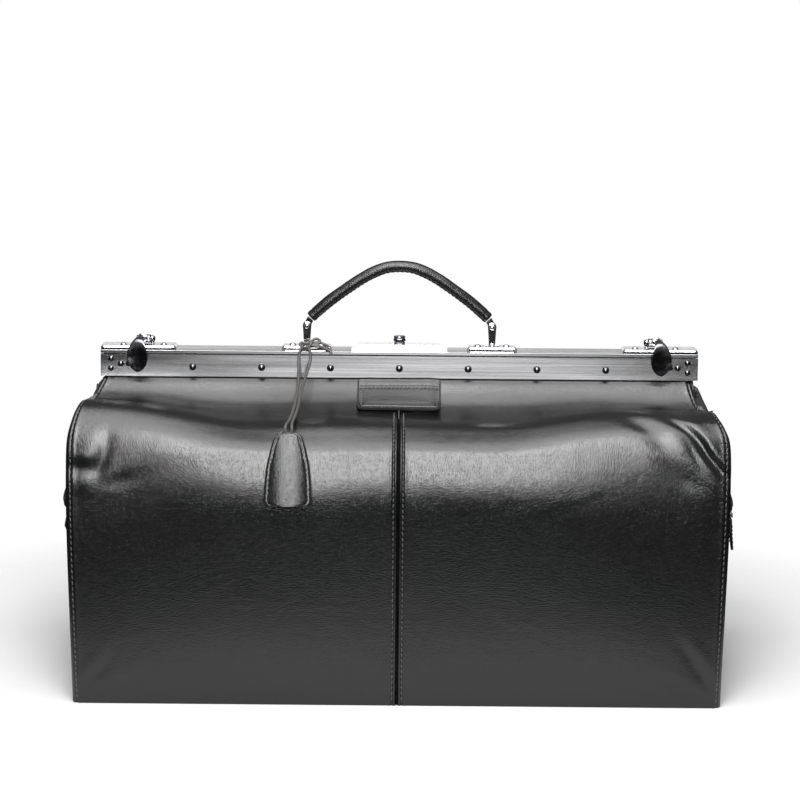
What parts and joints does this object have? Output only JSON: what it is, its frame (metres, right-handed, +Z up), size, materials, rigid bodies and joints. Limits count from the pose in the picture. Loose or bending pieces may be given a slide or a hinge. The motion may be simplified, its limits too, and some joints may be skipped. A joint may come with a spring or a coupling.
{
  "type": "doctor bag",
  "caption": "Leather doctor bag on a hinged steel frame with swinging handle, push lock, end clasps, end zips and a hanging key bell.",
  "frame": {"origin": "centre of the base, on the surface the bag stands on", "axes": "+X towards the bag's right end along its length, -Y out of its front, +Z up"},
  "size_m": [0.5124, 0.2542, 0.3225],
  "materials": {
    "leather_smooth": "black smooth full-grain leather, satin, fine pebble grain",
    "leather_trim": "black leather trim, stitched",
    "lining_cloth": "dark grey woven lining",
    "board": "fibre board stiffener",
    "frame_steel": "horizontally brushed gunmetal nickel",
    "bright_metal": "polished nickel",
    "dark_metal": "dark gunmetal, satin",
    "inner_steel": "plain steel",
    "zip_tape": "black zip tape with nickel teeth",
    "brass_key": "worn brass",
    "lace_cord": "thin black leather lace"
  },
  "bodies": {
    "bag": {"base_panel": "leather_smooth", "base_board": "board", "lining": "lining_cloth", "front_wall_left": "leather_smooth", "front_wall_right": "leather_smooth", "rear_wall_left": "leather_smooth", "rear_wall_right": "leather_smooth", "front_top_left": "leather_smooth", "front_top_right": "leather_smooth", "rear_top_left": "leather_smooth", "rear_top_right": "leather_smooth", "gusset_left": "leather_smooth", "gusset_right": "leather_smooth", "zip_lip_left": "leather_smooth", "zip_lip_right": "leather_smooth", "gusset_top_left_front": "leather_smooth", "gusset_top_left_rear": "leather_smooth", "gusset_top_right_front": "leather_smooth", "gusset_top_right_rear": "leather_smooth", "zip_left": "zip_tape", "zip_right": "zip_tape", "hinge_pins": "inner_steel", "lace_strands": "lace_cord"},
    "front_jaw": {"front_bar": "frame_steel", "front_binding": "leather_trim", "front_clamp_strip": "inner_steel", "front_rivets": "bright_metal", "front_arms": "inner_steel", "top_cover": "frame_steel", "handle_plates": "dark_metal", "lock_housing": "bright_metal", "clasp_plate_left": "dark_metal", "clasp_plate_right": "dark_metal", "clasp_pins": "bright_metal", "leather_patch": "leather_trim", "lace_knot": "lace_cord", "lock_spring": "inner_steel"},
    "rear_jaw": {"rear_bar": "frame_steel", "rear_binding": "leather_trim", "rear_clamp_strip": "inner_steel", "rear_rivets": "bright_metal", "rear_arms": "inner_steel", "lock_keeper": "inner_steel"},
    "handle_link_left": {"link_left": "bright_metal"},
    "handle_link_right": {"link_right": "bright_metal"},
    "handle": {"handle_grip": "leather_trim", "handle_core": "inner_steel", "handle_tabs": "dark_metal"},
    "push_button": {"lock_button": "dark_metal", "lock_bolt": "inner_steel"},
    "key_cylinder": {"key_plug": "brass_key"},
    "left_clasp": {"clasp_lever_left": "dark_metal"},
    "right_clasp": {"clasp_lever_right": "dark_metal"},
    "left_slider": {"zip_slider_left": "bright_metal"},
    "right_slider": {"zip_slider_right": "bright_metal"},
    "left_puller": {"zip_puller_left": "leather_trim"},
    "right_puller": {"zip_puller_right": "leather_trim"},
    "key_bell": {"bell_front": "leather_trim", "bell_back": "leather_trim", "bag_key": "brass_key"}
  },
  "joints": [
    {"name": "front_jaw_hinge", "type": "hinge", "parent": "bag", "child": "front_jaw", "pos_m": [0, 0, 0.156], "axis": [1, 0, 0], "range_deg": [0, 55], "deforming": ["front_top_left", "front_top_right", "gusset_top_left_front", "gusset_top_right_front", "lace_strands"]},
    {"name": "rear_jaw_hinge", "type": "hinge", "parent": "bag", "child": "rear_jaw", "pos_m": [0, 0, 0.156], "axis": [-1, 0, 0], "range_deg": [0, 55], "deforming": ["rear_top_left", "rear_top_right", "gusset_top_left_rear", "gusset_top_right_rear"]},
    {"name": "handle_sway", "type": "hinge", "parent": "front_jaw", "child": "handle_link_left", "pos_m": [-0.0715, 0, 0.257], "axis": [0, 1, 0], "range_deg": [-50, 50]},
    {"name": "right_link_swing", "type": "hinge", "parent": "front_jaw", "child": "handle_link_right", "pos_m": [0.0715, 0, 0.257], "axis": [0, 1, 0], "range_deg": [-50, 50]},
    {"name": "grip_level", "type": "hinge", "parent": "handle_link_left", "child": "handle", "pos_m": [-0.0715, 0, 0.2715], "axis": [0, 1, 0], "range_deg": [-50, 50]},
    {"name": "lock_press", "type": "slide", "parent": "front_jaw", "child": "push_button", "axis": [0, 0, -1], "range_m": [0, 0.003], "stiffness_N_per_m": 600, "springref_m": -0.002, "deforming": ["lock_spring"]},
    {"name": "key_turn", "type": "hinge", "parent": "push_button", "child": "key_cylinder", "pos_m": [0, 0, 0.262], "axis": [0, 0, 1], "range_deg": [0, 90]},
    {"name": "left_clasp_lift", "type": "hinge", "parent": "front_jaw", "child": "left_clasp", "pos_m": [-0.1965, 0.002, 0.26], "axis": [-0.9781, 0.2079, 0], "range_deg": [0, 100]},
    {"name": "right_clasp_lift", "type": "hinge", "parent": "front_jaw", "child": "right_clasp", "pos_m": [0.1965, 0.002, 0.26], "axis": [-0.9781, -0.2079, 0], "range_deg": [0, 100]},
    {"name": "left_zip_travel", "type": "slide", "parent": "bag", "child": "left_slider", "axis": [0, -1, 0], "range_m": [0, 0.12]},
    {"name": "right_zip_travel", "type": "slide", "parent": "bag", "child": "right_slider", "axis": [0, 1, 0], "range_m": [0, 0.12]},
    {"name": "left_puller_swing", "type": "hinge", "parent": "left_slider", "child": "left_puller", "pos_m": [-0.2532, 0.06, 0.137], "axis": [0, 1, 0], "range_deg": [0, 95]},
    {"name": "right_puller_swing", "type": "hinge", "parent": "right_slider", "child": "right_puller", "pos_m": [0.2532, -0.06, 0.137], "axis": [0, -1, 0], "range_deg": [0, 95]},
    {"name": "bell_swing", "type": "hinge", "parent": "bag", "child": "key_bell", "pos_m": [-0.08175, -0.114, 0.2061], "axis": [1, 0, 0], "range_deg": [-80, 0]}
  ],
  "couplings": [
    {"joint": "right_link_swing", "follows": "handle_sway", "ratio": 1},
    {"joint": "grip_level", "follows": "handle_sway", "ratio": -1}
  ]
}
